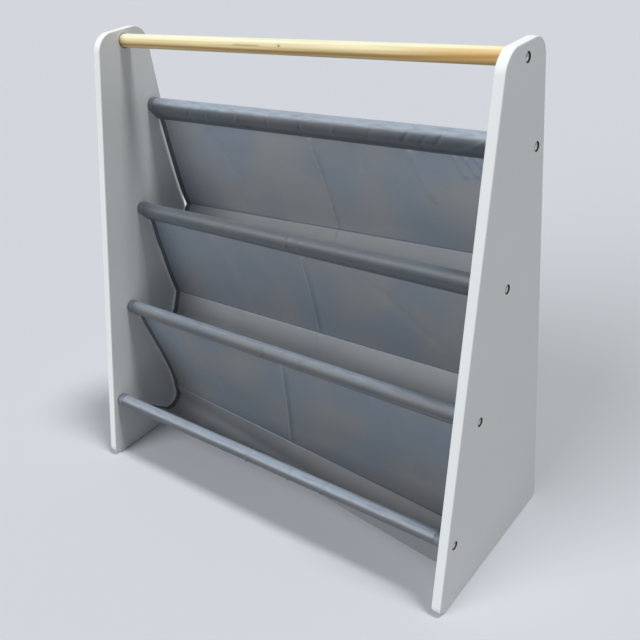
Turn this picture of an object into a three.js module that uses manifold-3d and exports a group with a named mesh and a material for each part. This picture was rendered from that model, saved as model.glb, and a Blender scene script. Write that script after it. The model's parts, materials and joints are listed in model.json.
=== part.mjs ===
// Sling bookshelf: two tapered side panels joined by a rail and four sling rods,
// with a cloth sling of three open pockets hung on the rods.
// Millimetres. X runs to the right, Y to the rear and Z up; the origin is on the floor
// below the middle of the footprint.
import * as THREE from 'three';
import Module from 'manifold-3d';
import { mergeVertices } from 'three/addons/utils/BufferGeometryUtils.js';

// Side panels
const panelHeight = 601;
const panelBottomDepth = 250;
const panelTopDepth = 80;
const panelThickness = 12.5;
const panelSpacing = 585;
const topFrontRadius = 27;
const topRearRadius = 22;
const bottomFrontRadius = 12;
const bottomRearRadius = 7;
const panelEdgeEasing = 1;

// Dowels: one bare rail and the rods that carry the sling
const railDiameter = 18;
const railDrop = 15;
const rodDiameter = 16;
const rodNames = ['bottom', 'lower', 'upper', 'top'];
const bottomRodSetback = 41.5;
const bottomRodHeight = 86.5;
const topRodInset = 17;
const topRodDrop = 109;
const dowelChamfer = 1.2;
const socketDepth = 5;
const fitGap = 0.3;

// Screws, driven through the panels into the dowel ends
const screwShankDiameter = 5;
const screwLength = 38;
const screwPointLength = 6;
const screwHeadDiameter = 10;
const screwHeadThickness = 2.6;
const screwRecessDiameter = 11.6;
const screwRecessDepth = 3.3;
const hexKeySize = 4;
const hexKeyDepth = 1.6;

// Sling cloth
const clothThickness = 1;
const hemWidth = 8;
const hemThickness = 1.8;
const sleeveSideGap = 0.6;
const pocketSideGap = 9;
const topSleeveDrop = 24;
const sleeveDrop = 18.5;
const sleeveEndDrop = 13.5;
const sleeveEndSlope = 12;

// Each pocket, from the top one down, at its left and its right hem. Every value is a share of
// the distance between neighbouring rods. The crease is where the back panel meets the bottom,
// and the belly is where the bottom would meet the front if it were not rounded: both are
// given by how far they lie behind the axis of the rod in front, and how far they drop below it.
// The back panel is pulled off its straight way down, most at a share of that way: to the rear
// by one share at its hems and by another in the middle of the pocket.
const pocketNames = ['upper', 'middle', 'lower'];
const creaseShares = [
  { left: { back: 0.517, drop: 0.149 }, right: { back: 0.517, drop: 0.045 } },
  { left: { back: 0.577, drop: 0.115 }, right: { back: 0.6, drop: 0.096 } },
  { left: { back: 0.642, drop: 0.217 }, right: { back: 0.582, drop: 0.311 } },
];
const bellyShares = [
  { left: { back: 0.231, drop: 0.466, radius: 0.16 }, right: { back: 0.225, drop: 0.473, radius: 0.16 } },
  { left: { back: 0.363, drop: 0.425, radius: 0.16 }, right: { back: 0.303, drop: 0.451, radius: 0.147 } },
  { left: { back: 0.649, drop: 0.518, radius: 0.133 }, right: { back: 0.11, drop: 0.505, radius: 0.087 } },
];
const pullShares = [
  { down: 0.5, hem: -0.027, middle: 0.04 },
  { down: 0.79, hem: -0.071, middle: 0.02 },
  { down: 0.69, hem: 0.07, middle: 0.04 },
];

// Fineness of the facets
const arcSteps = 6;
const roundSides = 20;
const screwSides = 12;
const backSteps = 8;
const bellySteps = 7;
const clothBays = 16;
const sleeveSides = 16;

// Overrun of a cutting solid past the face that it opens
const cutOverrun = 2;

const paint = { color: 0xf1f3f2, roughness: 0.45, metalness: 0 };
const pine = { color: 0xe2c48e, roughness: 0.6, metalness: 0 };
const steel = { color: 0x8d8f92, roughness: 0.35, metalness: 1 };
const cloth = { color: 0x6c737d, roughness: 0.7, metalness: 0 };

// The rounding of a panel's leaning front edge takes a little off its depth, and the origin is
// in the middle of what is left
const lean = Math.atan2(panelBottomDepth - panelTopDepth, panelHeight);
const frontRelief = bottomFrontRadius * ((1 + Math.sin(lean)) / Math.cos(lean) - 1);
const rearY = (panelBottomDepth - frontRelief) / 2;
const frontY = rearY - panelBottomDepth;
const panelInnerX = panelSpacing / 2;
const panelOuterX = panelInnerX + panelThickness;

// Where the five dowels run: y and z of their axes. The rods lie in one leaning plane, evenly spaced.
const rail = { name: 'top_rail', y: rearY - panelTopDepth / 2, z: panelHeight - railDrop, diameter: railDiameter };
const bottomAxis = new THREE.Vector2(frontY + bottomRodSetback, bottomRodHeight);
const topAxis = new THREE.Vector2(rearY - topRodInset, panelHeight - topRodDrop);
const rodPitch = bottomAxis.distanceTo(topAxis) / (rodNames.length - 1);
const rods = rodNames.map((name, i) => {
  const axis = bottomAxis.clone().lerp(topAxis, i / (rodNames.length - 1));
  const seamDrop = name === 'top' ? topSleeveDrop : sleeveDrop;
  return { name: `sling_rod_${name}`, y: axis.x, z: axis.y, diameter: rodDiameter, seamDrop };
});
const dowels = [rail, ...rods];

const wasm = await Module();
wasm.setup();

function solidOf(geometry) {
  const bare = geometry.clone();
  bare.deleteAttribute('normal');
  bare.deleteAttribute('uv');
  const merged = mergeVertices(bare);
  return new wasm.Manifold(new wasm.Mesh({
    numProp: 3,
    vertProperties: merged.attributes.position.array,
    triVerts: Uint32Array.from(merged.index.array),
  }));
}

function geometryOf(solid) {
  const mesh = solid.getMesh();
  const geometry = new THREE.BufferGeometry();
  geometry.setAttribute('position', new THREE.BufferAttribute(mesh.vertProperties, 3));
  geometry.setIndex(new THREE.BufferAttribute(mesh.triVerts, 1));
  geometry.computeVertexNormals();
  return geometry;
}

// A round solid along X, from a half profile of points (x, radius) that starts and ends on the axis
function turned(profile, sides) {
  const points = profile.map(([x, radius]) => new THREE.Vector2(radius, x));
  return new THREE.LatheGeometry(points, sides).rotateZ(-Math.PI / 2);
}

function cylinderAlongX(fromX, toX, radius, y, z) {
  const length = Math.abs(toX - fromX);
  const geometry = new THREE.CylinderGeometry(radius, radius, length, roundSides);
  return solidOf(geometry.rotateZ(Math.PI / 2).translate((fromX + toX) / 2, y, z));
}

// A closed outline whose corners are rounded by arcs
function roundedOutline(corners) {
  const shape = new THREE.Shape();
  corners.forEach(({ point, radius }, i) => {
    const before = corners.at(i - 1).point;
    const after = corners[(i + 1) % corners.length].point;
    const toBefore = before.clone().sub(point).normalize();
    const toAfter = after.clone().sub(point).normalize();
    const half = Math.acos(toBefore.dot(toAfter)) / 2;
    const start = point.clone().addScaledVector(toBefore, radius / Math.tan(half));
    const end = point.clone().addScaledVector(toAfter, radius / Math.tan(half));
    const bisector = toBefore.clone().add(toAfter).normalize();
    const centre = point.clone().addScaledVector(bisector, radius / Math.sin(half));
    const startAngle = start.sub(centre).angle();
    const endAngle = end.sub(centre).angle();
    shape.absarc(centre.x, centre.y, radius, startAngle, endAngle, false);
  });
  shape.closePath();
  return shape;
}

// A side panel, eased along its edges, with a blind socket for each dowel in its inner face
// and a recess and a through hole for each screw in its outer face. side is -1 or 1 along X.
function sidePanel(side) {
  const shape = roundedOutline([
    { point: new THREE.Vector2(frontY, 0), radius: bottomFrontRadius },
    { point: new THREE.Vector2(rearY, 0), radius: bottomRearRadius },
    { point: new THREE.Vector2(rearY, panelHeight), radius: topRearRadius },
    { point: new THREE.Vector2(rearY - panelTopDepth, panelHeight), radius: topFrontRadius },
  ]);
  const board = new THREE.ExtrudeGeometry(shape, {
    depth: panelThickness - 2 * panelEdgeEasing,
    bevelThickness: panelEdgeEasing,
    bevelSize: panelEdgeEasing,
    bevelOffset: -panelEdgeEasing,
    bevelSegments: 2,
    curveSegments: arcSteps,
  });
  const shapeToWorld = new THREE.Matrix4().makeBasis(
    new THREE.Vector3(0, 1, 0),
    new THREE.Vector3(0, 0, 1),
    new THREE.Vector3(1, 0, 0),
  );
  board.translate(0, 0, panelEdgeEasing).applyMatrix4(shapeToWorld);
  board.translate(side > 0 ? panelInnerX : -panelOuterX, 0, 0);
  let panel = solidOf(board);
  for (const { y, z, diameter } of dowels) {
    const socketRadius = diameter / 2 + fitGap;
    const holeRadius = screwShankDiameter / 2 + fitGap;
    const innerX = side * panelInnerX;
    const outerX = side * panelOuterX;
    const over = side * cutOverrun;
    const socket = cylinderAlongX(innerX - over, innerX + side * socketDepth, socketRadius, y, z);
    const hole = cylinderAlongX(innerX, outerX, holeRadius, y, z);
    const recess = cylinderAlongX(outerX - side * screwRecessDepth, outerX + over, screwRecessDiameter / 2, y, z);
    panel = panel.subtract(socket).subtract(hole).subtract(recess);
  }
  return geometryOf(panel);
}

// A dowel that reaches into both sockets, chamfered, with a pilot hole for a screw in each end
function dowel(diameter) {
  const end = panelInnerX + socketDepth - fitGap;
  const radius = diameter / 2;
  const pilotRadius = screwShankDiameter / 2 + fitGap;
  const screwTipX = panelOuterX - screwRecessDepth - screwLength;
  const pilotX = screwTipX - fitGap;
  const halfProfile = [
    [pilotX, 0],
    [pilotX, pilotRadius],
    [end, pilotRadius],
    [end, radius - dowelChamfer],
    [end - dowelChamfer, radius],
  ];
  const mirrored = halfProfile.map(([x, r]) => [-x, r]).reverse();
  return turned([...halfProfile, ...mirrored].reverse(), roundSides);
}

// A screw that points along +X from a flat head, with a six-sided key socket.
// Its origin is at the underside of the head.
function screw() {
  const shankRadius = screwShankDiameter / 2;
  const headRadius = screwHeadDiameter / 2;
  const headEase = screwHeadThickness / 4;
  const body = solidOf(turned([
    [-screwHeadThickness, 0],
    [-screwHeadThickness, headRadius - headEase],
    [-screwHeadThickness + headEase, headRadius],
    [0, headRadius],
    [0, shankRadius],
    [screwLength - screwPointLength, shankRadius],
    [screwLength, 0],
  ], screwSides));
  const keyRadius = hexKeySize / Math.sqrt(3);
  const key = new THREE.CylinderGeometry(keyRadius, keyRadius, 2 * hexKeyDepth, 6);
  key.rotateZ(Math.PI / 2).translate(-screwHeadThickness, 0, 0);
  return geometryOf(body.subtract(solidOf(key)));
}

// The two faces of a cloth of the given thickness whose middle line has the given points.
// At a bend the faces are mitred.
function offsetLine(line, thickness, closed) {
  const n = line.length;
  return line.map((point, i) => {
    const before = closed ? line.at(i - 1) : line[Math.max(i - 1, 0)];
    const after = closed ? line[(i + 1) % n] : line[Math.min(i + 1, n - 1)];
    const inward = point.clone().sub(before);
    const outward = after.clone().sub(point);
    if (inward.length() === 0) inward.copy(outward);
    if (outward.length() === 0) outward.copy(inward);
    const tangent = inward.normalize().add(outward.normalize()).normalize();
    const mitre = tangent.dot(outward);
    const normal = new THREE.Vector2(-tangent.y, tangent.x).multiplyScalar(thickness / 2 / mitre);
    return { plus: point.clone().add(normal), minus: point.clone().sub(normal) };
  });
}

// Cloth lofted along X through stations of { x, line, thickness }, all lines of equal length
function clothLoft(stations, closed) {
  const n = stations[0].line.length;
  const positions = [];
  for (const { x, line, thickness } of stations) {
    const faces = offsetLine(line, thickness, closed);
    faces.forEach(({ plus }) => positions.push(x, plus.x, plus.y));
    faces.forEach(({ minus }) => positions.push(x, minus.x, minus.y));
  }
  const triangles = [];
  const quad = (a, b, c, d) => triangles.push(a, b, c, a, c, d);
  const plus = (s, i) => s * 2 * n + (i % n);
  const minus = (s, i) => plus(s, i) + n;
  const spans = closed ? n : n - 1;
  for (let s = 0; s + 1 < stations.length; s += 1) {
    for (let i = 0; i < spans; i += 1) {
      quad(plus(s, i), plus(s + 1, i), plus(s + 1, i + 1), plus(s, i + 1));
      quad(minus(s, i), minus(s, i + 1), minus(s + 1, i + 1), minus(s + 1, i));
    }
    if (!closed) {
      quad(plus(s, 0), minus(s, 0), minus(s + 1, 0), plus(s + 1, 0));
      quad(plus(s, n - 1), plus(s + 1, n - 1), minus(s + 1, n - 1), minus(s, n - 1));
    }
  }
  const last = stations.length - 1;
  for (let i = 0; i < spans; i += 1) {
    quad(plus(0, i), plus(0, i + 1), minus(0, i + 1), minus(0, i));
    quad(plus(last, i), minus(last, i), minus(last, i + 1), plus(last, i + 1));
  }
  const geometry = new THREE.BufferGeometry();
  geometry.setAttribute('position', new THREE.Float32BufferAttribute(positions, 3));
  geometry.setIndex(triangles);
  geometry.computeVertexNormals();
  return geometry;
}

function mix(left, right, share) {
  return left + (right - left) * share;
}

// The closed middle line of a sleeve: round over the top of its rod, and below it half an oval
// down to the seam
function sleeveLine(seamDrop) {
  const radius = rodDiameter / 2 + fitGap + clothThickness / 2;
  return Array.from({ length: sleeveSides }, (_, i) => {
    const angle = (2 * Math.PI * i) / sleeveSides - Math.PI / 2;
    const height = Math.sin(angle) < 0 ? seamDrop : radius;
    return new THREE.Vector2(radius * Math.cos(angle), height * Math.sin(angle));
  });
}

// A sleeve, whose seam rises towards its ends
function sleeve(drop) {
  const end = panelInnerX - sleeveSideGap;
  const right = [0, end - sleeveEndSlope, end];
  const left = right.slice(1).map((x) => -x).reverse();
  const stations = [...left, ...right].map((x) => {
    const reach = Math.min((end - Math.abs(x)) / sleeveEndSlope, 1);
    return { x, line: sleeveLine(mix(sleeveEndDrop, drop, reach)), thickness: clothThickness };
  });
  return clothLoft(stations, true);
}

// The X places of a pocket's stations: close together at the hems, even between them
function pocketStations() {
  const edge = panelInnerX - pocketSideGap;
  const inner = edge - hemWidth;
  const bays = Array.from({ length: clothBays + 1 }, (_, i) => inner * (2 * i / clothBays - 1));
  const hemStep = hemThickness - clothThickness;
  const outer = [edge, inner + hemStep];
  const places = [...outer.map((x) => -x), ...bays, ...outer.reverse()];
  return places.map((x) => ({
    x,
    share: (x + edge) / (2 * edge),
    thickness: Math.abs(x) > inner ? hemThickness : clothThickness,
  }));
}

// A point below and behind a rod's axis, between its left and its right place
function placeBehind(rod, { left, right }, share) {
  const back = mix(left.back, right.back, share) * rodPitch;
  const drop = mix(left.drop, right.drop, share) * rodPitch;
  return new THREE.Vector2(rod.y + back, rod.z - drop);
}

// The point that lies a distance from one point towards another
function towards(from, to, distance) {
  return from.clone().addScaledVector(to.clone().sub(from).normalize(), distance);
}

// The seam of a sleeve, as a point under its rod
function seamOf(rod) {
  return new THREE.Vector2(rod.y, rod.z - rod.seamDrop);
}

// How far two square cloth ends stop short of the corner where they meet at an angle
function cornerSetback(first, second, thickness) {
  const half = first.angleTo(second) / 2;
  return (fitGap / 2 + thickness / 2 * Math.cos(half)) / Math.sin(half);
}

// How far a square cloth end stops short of another cloth that it meets at an angle
function sideSetback(along, other, thickness, otherThickness) {
  const angle = along.angleTo(other);
  return (fitGap + (otherThickness + thickness * Math.abs(Math.cos(angle))) / 2) / Math.sin(angle);
}

// How far a square cloth end stops short of the underside of a sleeve
function sleeveSetback(along, thickness) {
  return sideSetback(along, new THREE.Vector2(1, 0), thickness, clothThickness);
}

// A pocket's back from the seam above it to the crease
function backCurve(pocket, share) {
  const seam = seamOf(pocket.upperRod);
  const crease = placeBehind(pocket.lowerRod, pocket.crease, share);
  const { down, hem, middle } = pocket.pull;
  const pulled = seam.clone().lerp(crease, down);
  pulled.x += mix(middle, hem, Math.abs(2 * share - 1)) * rodPitch;
  return new THREE.QuadraticBezierCurve(seam, pulled, crease);
}

// A pocket's back panel
function pocketBack(pocket) {
  const stations = pocketStations().map(({ x, share, thickness }) => {
    const { v0: seam, v1: pulled, v2: crease } = backCurve(pocket, share);
    const belly = placeBehind(pocket.lowerRod, pocket.belly, share);
    const setback = cornerSetback(pulled.clone().sub(crease), belly.sub(crease), thickness);
    const start = towards(seam, pulled, sleeveSetback(pulled.clone().sub(seam), thickness));
    const end = towards(crease, pulled, setback);
    return { x, line: new THREE.QuadraticBezierCurve(start, pulled, end).getPoints(backSteps), thickness };
  });
  return clothLoft(stations, false);
}

// A pocket's bottom and front panel: from the crease round the belly to the seam of the sleeve
// in front. Where the back of a next pocket hangs from that seam, the panel ends against it.
function pocketFront(pocket, next) {
  const stations = pocketStations().map(({ x, share, thickness }) => {
    const seam = seamOf(pocket.lowerRod);
    const { v1: pulled, v2: crease } = backCurve(pocket, share);
    const belly = placeBehind(pocket.lowerRod, pocket.belly, share);
    const radius = mix(pocket.belly.left.radius, pocket.belly.right.radius, share) * rodPitch;
    const toBelly = belly.clone().sub(crease);
    const toCrease = crease.clone().sub(belly).normalize();
    const toSeam = seam.clone().sub(belly).normalize();
    const half = toCrease.angleTo(toSeam) / 2;
    const bisector = toCrease.add(toSeam).normalize();
    const centre = belly.clone().addScaledVector(bisector, radius / Math.sin(half));
    const startAngle = towards(belly, crease, radius / Math.tan(half)).sub(centre).angle();
    const creaseSetback = cornerSetback(pulled.clone().sub(crease), toBelly, thickness);
    const line = [towards(crease, belly, creaseSetback)];
    for (let i = 0; i <= bellySteps; i += 1) {
      const angle = startAngle - (Math.PI - 2 * half) * (i / bellySteps);
      line.push(new THREE.Vector2(Math.cos(angle), Math.sin(angle)).multiplyScalar(radius).add(centre));
    }
    const down = belly.clone().sub(seam);
    let setback = sleeveSetback(down, thickness);
    if (next) {
      const nextBack = backCurve(next, share).v1.sub(seam);
      setback = Math.max(setback, sideSetback(down, nextBack, thickness, thickness));
    }
    line.push(towards(seam, belly, setback));
    return { x, line, thickness };
  });
  return clothLoft(stations, false);
}

function mesh(name, geometry, look) {
  const part = new THREE.Mesh(geometry, new THREE.MeshStandardMaterial(look));
  part.name = name;
  return part;
}

function sideScrews(side) {
  return dowels.map(({ name, y, z }) => {
    const part = mesh(`screw_${side < 0 ? 'left' : 'right'}_${name}`, screw(), steel);
    part.position.set(side * (panelOuterX - screwRecessDepth), y, z);
    part.rotation.z = side < 0 ? 0 : Math.PI;
    return part;
  });
}

const shelf = new THREE.Group();

shelf.add(mesh('side_panel_left', sidePanel(-1), paint));
shelf.add(mesh('side_panel_right', sidePanel(1), paint));
for (const { name, y, z, diameter } of dowels) {
  const part = mesh(name, dowel(diameter), pine);
  part.position.set(0, y, z);
  shelf.add(part);
}
shelf.add(...sideScrews(-1), ...sideScrews(1));

rods.forEach((rod, i) => {
  const part = mesh(`sleeve_${rodNames[i]}`, sleeve(rod.seamDrop), cloth);
  part.position.set(0, rod.y, rod.z);
  shelf.add(part);
});
const hung = pocketNames.map((name, i) => ({
  name,
  crease: creaseShares[i],
  belly: bellyShares[i],
  pull: pullShares[i],
  upperRod: rods.at(-1 - i),
  lowerRod: rods.at(-2 - i),
}));
hung.forEach((pocket, i) => {
  shelf.add(mesh(`${pocket.name}_pocket_back`, pocketBack(pocket), cloth));
  shelf.add(mesh(`${pocket.name}_pocket_front`, pocketFront(pocket, hung[i + 1]), cloth));
});

export default shelf;
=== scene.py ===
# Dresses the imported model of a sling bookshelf: painted side panels, a pine rail,
# screws, and a grey cloth sling of three pockets with its hems and stitches.
# Lengths are in metres. X runs to the right, Y to the rear and Z up.
import json
import math
from functools import cache

import bmesh
import bpy
from mathutils import Matrix, Vector, noise

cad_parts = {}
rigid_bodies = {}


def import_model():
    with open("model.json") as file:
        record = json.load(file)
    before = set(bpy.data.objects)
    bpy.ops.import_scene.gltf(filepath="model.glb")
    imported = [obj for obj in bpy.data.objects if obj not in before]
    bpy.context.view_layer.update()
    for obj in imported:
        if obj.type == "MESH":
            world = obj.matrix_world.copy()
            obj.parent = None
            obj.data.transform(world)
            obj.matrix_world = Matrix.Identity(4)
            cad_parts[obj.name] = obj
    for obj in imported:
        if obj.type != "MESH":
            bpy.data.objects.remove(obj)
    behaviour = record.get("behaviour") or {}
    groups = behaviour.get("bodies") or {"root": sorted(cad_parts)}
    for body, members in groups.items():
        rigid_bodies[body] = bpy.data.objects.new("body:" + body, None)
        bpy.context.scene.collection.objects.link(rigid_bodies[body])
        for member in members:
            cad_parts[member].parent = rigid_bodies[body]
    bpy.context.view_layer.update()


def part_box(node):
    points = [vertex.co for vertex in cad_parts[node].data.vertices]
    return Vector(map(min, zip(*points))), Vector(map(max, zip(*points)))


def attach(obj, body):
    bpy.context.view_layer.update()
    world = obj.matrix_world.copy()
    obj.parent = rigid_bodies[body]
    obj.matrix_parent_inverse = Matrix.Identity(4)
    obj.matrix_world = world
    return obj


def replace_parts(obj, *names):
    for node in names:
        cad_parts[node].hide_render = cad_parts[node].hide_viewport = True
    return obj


bl_info = {
    "name": "Sling bookshelf",
    "version": (1, 0, 0),
    "blender": (4, 5, 0),
    "location": "3D View > Sidebar > Bookshelf",
    "description": "Builds a sling bookshelf with its cloth, wood, paint and screws",
    "category": "Object",
}

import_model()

MM = 0.001
BODY = "root"
SIDES = {"left": -1, "right": 1}
ROD_NAMES = ("bottom", "lower", "upper", "top")
POCKET_NAMES = ("upper", "middle", "lower")


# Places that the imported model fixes


def axis_of(node):
    """The axis of a dowel that runs along X, as its y and z."""
    low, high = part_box(node)
    return Vector(((low[1] + high[1]) / 2, (low[2] + high[2]) / 2))


def radius_of(node):
    """The radius of a dowel that runs along X."""
    low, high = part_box(node)
    return (high[2] - low[2]) / 2


DOWELS = ("top_rail", *(f"sling_rod_{name}" for name in ROD_NAMES))
DOWEL_AXES = {node: axis_of(node) for node in DOWELS}
RAIL_AXIS, *ROD_AXES = DOWEL_AXES.values()
RAIL_RADIUS = radius_of("top_rail")
ROD_PITCH = (ROD_AXES[-1] - ROD_AXES[0]).length / (len(ROD_AXES) - 1)
PANEL_LOW, PANEL_HIGH = (Vector(corner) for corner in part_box("side_panel_right"))
PANEL_INNER_X = PANEL_LOW.x
PANEL_OUTER_X = PANEL_HIGH.x

# The pockets' shapes at the left and the right hem, as shares of the distance between rods:
# how far the crease and the belly lie behind the rod in front and drop below it. The back is
# pulled off its straight way down at a share of it, by one share at the hems and by another
# in the middle of the pocket.
CREASE_SHARES = (
    ((0.553, 0.161), (0.553, 0.065)),
    ((0.575, 0.099), (0.598, 0.097)),
    ((0.668, 0.223), (0.528, 0.385)),
)
BELLY_SHARES = (
    ((0.269, 0.498, 0.16), (0.263, 0.505, 0.16)),
    ((0.401, 0.457, 0.16), (0.341, 0.483, 0.147)),
    ((0.672, 0.585, 0.133), (0.148, 0.555, 0.087)),
)
PULL_SHARES = ((0.77, -0.041, 0.04), (0.85, -0.023, 0.02), (0.85, 0.069, 0.04))


def length_setting(name, description, default):
    return bpy.props.FloatProperty(
        name=name, description=description, default=default, unit="LENGTH")


def colour_setting(name, description, default):
    return bpy.props.FloatVectorProperty(
        name=name, description=description, default=default, subtype="COLOR")


class ShelfSizes(bpy.types.PropertyGroup):
    """Sizes that a user may change."""

    panel_depth: length_setting(
        "Panel depth", "Depth of a side panel at the floor, to its sharp corners", 250 * MM)
    panel_top_depth: length_setting(
        "Panel top depth", "Depth of a side panel at its top, to its sharp corners", 80 * MM)
    panel_easing: length_setting("Panel easing", "Rounding of a side panel's long edges", 1.3 * MM)
    cloth_thickness: length_setting("Cloth thickness", "Thickness of one layer of cloth", 0.7 * MM)
    hem_width: length_setting(
        "Hem width", "Width of the turned hem along each side of a pocket", 10 * MM)
    hem_thickness: length_setting("Hem thickness", "Thickness of the turned hem", 2.2 * MM)
    sleeve_hem_width: length_setting(
        "Sleeve hem width", "Width of the turned hem at each end of a sleeve", 10.5 * MM)
    stitch_length: length_setting("Stitch length", "Length of one stitch", 3.2 * MM)


class ShelfColours(bpy.types.PropertyGroup):
    """Colours that a user may change."""

    paint: colour_setting("Paint", "Paint of the side panels", (0.80, 0.815, 0.81))
    # Pale early wood; along the rail's top it is partly a painted highlight
    pine_light: colour_setting("Pale wood", "Early wood of the pine rail", (0.86, 0.84, 0.62))
    pine_dark: colour_setting("Dark wood", "Late wood of the pine rail", (0.38, 0.215, 0.06))
    pine_middle: colour_setting(
        "Middling wood", "Wood between the pale and the dark", (0.83, 0.68, 0.36))
    pine_warm: colour_setting(
        "Warm wood", "Toasted wood towards the rail's right end", (0.64, 0.35, 0.095))
    knot: colour_setting("Knot", "Small knot in the pine rail", (0.12, 0.06, 0.025))
    cloth: colour_setting("Cloth", "Cloth of the sling", (0.168, 0.196, 0.237))
    # Paler, warmer cloth: random patches, and the pocket fronts lean to it as painted light
    cloth_pale_patches_and_light: colour_setting(
        "Paler cloth", "The cloth where it is a little paler and warmer", (0.214, 0.218, 0.228))
    # Painted far darker than bare board, as the painted shade inside the drilled holes
    board: colour_setting("Board", "Bare board inside the drilled holes", (0.045, 0.034, 0.024))
    thread: colour_setting("Thread", "Sewing thread", (0.10, 0.115, 0.135))
    steel: colour_setting("Steel", "Plated steel of the screws", (0.66, 0.66, 0.66))
    floor: colour_setting("Floor", "Plain floor of the stage", (0.55, 0.565, 0.60))


# Marks of the rail's wood. The grain bows up past its turn, the wood is toasted towards the
# right end, and the knot is stretched along the rail. The streak has a middle and a half length.
# A rise is a height in shares of the rail's radius, and each stop of the grain gives a rise and
# how pale the wood is there, where 0 is dark, 1 middling and 2 pale. The palest stops at the top
# are partly the pale early wood and partly a painted highlight.
GRAIN_TURN = 100 * MM
GRAIN_BOW = 16.0
GRAIN_RANGE = (-1.3, 1.1)
GRAIN_STOPS = (
    (-1.25, 0.80), (-1.00, 0.35), (-0.88, 0.50), (-0.72, 0.85), (-0.58, 0.85), (-0.48, 0.40),
    (-0.38, 0.12), (-0.20, 0.05), (-0.08, 0.40), (0.03, 0.85), (0.35, 1.10), (0.60, 1.50),
    (0.85, 1.85), (1.05, 2.00),
)
TOASTED_X = (120 * MM, 240 * MM)
TOASTED_RISE = (0.45, 0.9)
STREAK_MIDDLE = -55 * MM
STREAK_REACH = 26 * MM
STREAK_RISE = 0.29
KNOT = Vector((-2.4 * MM, RAIL_AXIS.x - 0.93 * RAIL_RADIUS, RAIL_AXIS.y + 0.37 * RAIL_RADIUS))
KNOT_OVAL = (0.55, 1.0, 1.0)


# Shader building


class Value:
    """A shader socket whose arithmetic adds Math nodes to its tree."""

    def __init__(self, finish, socket):
        self.finish = finish
        self.socket = socket

    def __add__(self, other):
        return self.finish.math("ADD", self, other)

    def __sub__(self, other):
        return self.finish.math("SUBTRACT", self, other)

    def __rsub__(self, other):
        return self.finish.math("SUBTRACT", other, self)

    def __mul__(self, other):
        return self.finish.math("MULTIPLY", self, other)

    __radd__ = __add__
    __rmul__ = __mul__


class Finish:
    """A material, or the light round the stage, whose node tree is written as expressions."""

    def __init__(self, name, store=None):
        self.owner = (bpy.data.materials if store is None else store).new(name)
        self.owner.use_nodes = True
        self.tree = self.owner.node_tree
        self.tree.nodes.clear()

    def node(self, kind, settings=None, sockets=None, output=0):
        """Adds a node, sets it up, fills its sockets and returns one output."""
        node = self.tree.nodes.new(kind)
        for key, value in (settings or {}).items():
            if key == "stops":
                ramp = node.color_ramp
                while len(ramp.elements) < len(value):
                    ramp.elements.new(0.5)
                for element, (position, colour) in zip(ramp.elements, value):
                    element.position = position
                    element.color = colour
            else:
                setattr(node, key, value)
        for key, value in (sockets or {}).items():
            if isinstance(value, Value):
                self.tree.links.new(value.socket, node.inputs[key])
            else:
                node.inputs[key].default_value = value
        return Value(self, node.outputs[output])

    def math(self, operation, *terms):
        return self.node("ShaderNodeMath", {"operation": operation}, dict(enumerate(terms)))

    def size(self, value):
        return self.math("ABSOLUTE", value)

    def ramp(self, value, low, high, stops):
        """A colour from stops that are spread between low and high."""
        places = [((at - low) / (high - low), opaque(colour)) for at, colour in stops]
        sockets = {"Value": value, "From Min": low, "From Max": high}
        share = self.node("ShaderNodeMapRange", None, sockets)
        return self.node("ShaderNodeValToRGB", {"stops": places}, {0: share})

    def smooth(self, value, low, high):
        """0 below low, 1 above high and smooth between."""
        return self.node("ShaderNodeMapRange", {"interpolation_type": "SMOOTHSTEP"},
                         {"Value": value, "From Min": low, "From Max": high})

    def noise(self, place, scale, detail=2.0):
        sockets = {"Vector": place, "Scale": scale, "Detail": detail}
        return self.node("ShaderNodeTexNoise", None, sockets)

    def place(self):
        """Where a point is on its piece."""
        return self.node("ShaderNodeTexCoord", output=3)

    def vector_math(self, operation, *terms, output=0):
        sockets = dict(enumerate(terms))
        return self.node("ShaderNodeVectorMath", {"operation": operation}, sockets, output)

    def stretched(self, place, scale):
        return self.vector_math("MULTIPLY", place, scale)

    def parts(self, place):
        """The x, y and z of a place."""
        split = self.node("ShaderNodeSeparateXYZ", None, {0: place}).socket.node
        return [Value(self, output) for output in split.outputs]

    def mixed(self, factor, first, second):
        """A colour between two."""
        sockets = {0: factor, 6: first, 7: second}
        return self.node("ShaderNodeMix", {"data_type": "RGBA"}, sockets, 2)

    def mottled(self, factor, colour, spread):
        """A colour that goes from a darker to a paler shade of itself."""
        return self.mixed(factor, opaque(colour, 1 - spread), opaque(colour, 1 + spread))

    def bump(self, height, distance, strength=1.0):
        sockets = {"Height": height, "Distance": distance, "Strength": strength}
        return self.node("ShaderNodeBump", None, sockets)

    def surface(self, **settings):
        """Ends the tree in one Principled shader, whose sockets are written in small letters."""
        sockets = {}
        for key, value in settings.items():
            sockets[key.replace("_", " ").title().replace("Ior", "IOR")] = value
        shader = self.node("ShaderNodeBsdfPrincipled", None, sockets)
        return self.ended(shader, "ShaderNodeOutputMaterial")

    def ended(self, shader, kind):
        output = self.tree.nodes.new(kind)
        self.tree.links.new(shader.socket, output.inputs["Surface"])
        return self.owner


def opaque(colour, shade=1.0):
    """A colour in a paler or darker shade, with its alpha."""
    return (*(min(1.0, channel * shade) for channel in colour), 1.0)


def paint_finish(colours, name):
    """Satin white paint, sprayed on board: a faint orange peel and barely uneven tone."""
    finish = Finish(name)
    place = finish.place()
    return finish.surface(
        base_color=finish.mottled(finish.noise(place, 9.0), colours.paint, 0.03),
        roughness=0.46 + 0.1 * finish.noise(place, 60.0),
        normal=finish.bump(finish.noise(place, 420.0, 3.0), 0.05 * MM),
        specular_ior_level=0.35,
    )


def wood_tone(colours, share):
    """The wood's colour from dark at 0 over middling at 1 to pale at 2."""
    tones = (colours.pine_dark, colours.pine_middle, colours.pine_light)
    first = min(int(share), 1)
    return tuple(Vector(tones[first]).lerp(Vector(tones[first + 1]), share - first))


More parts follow.
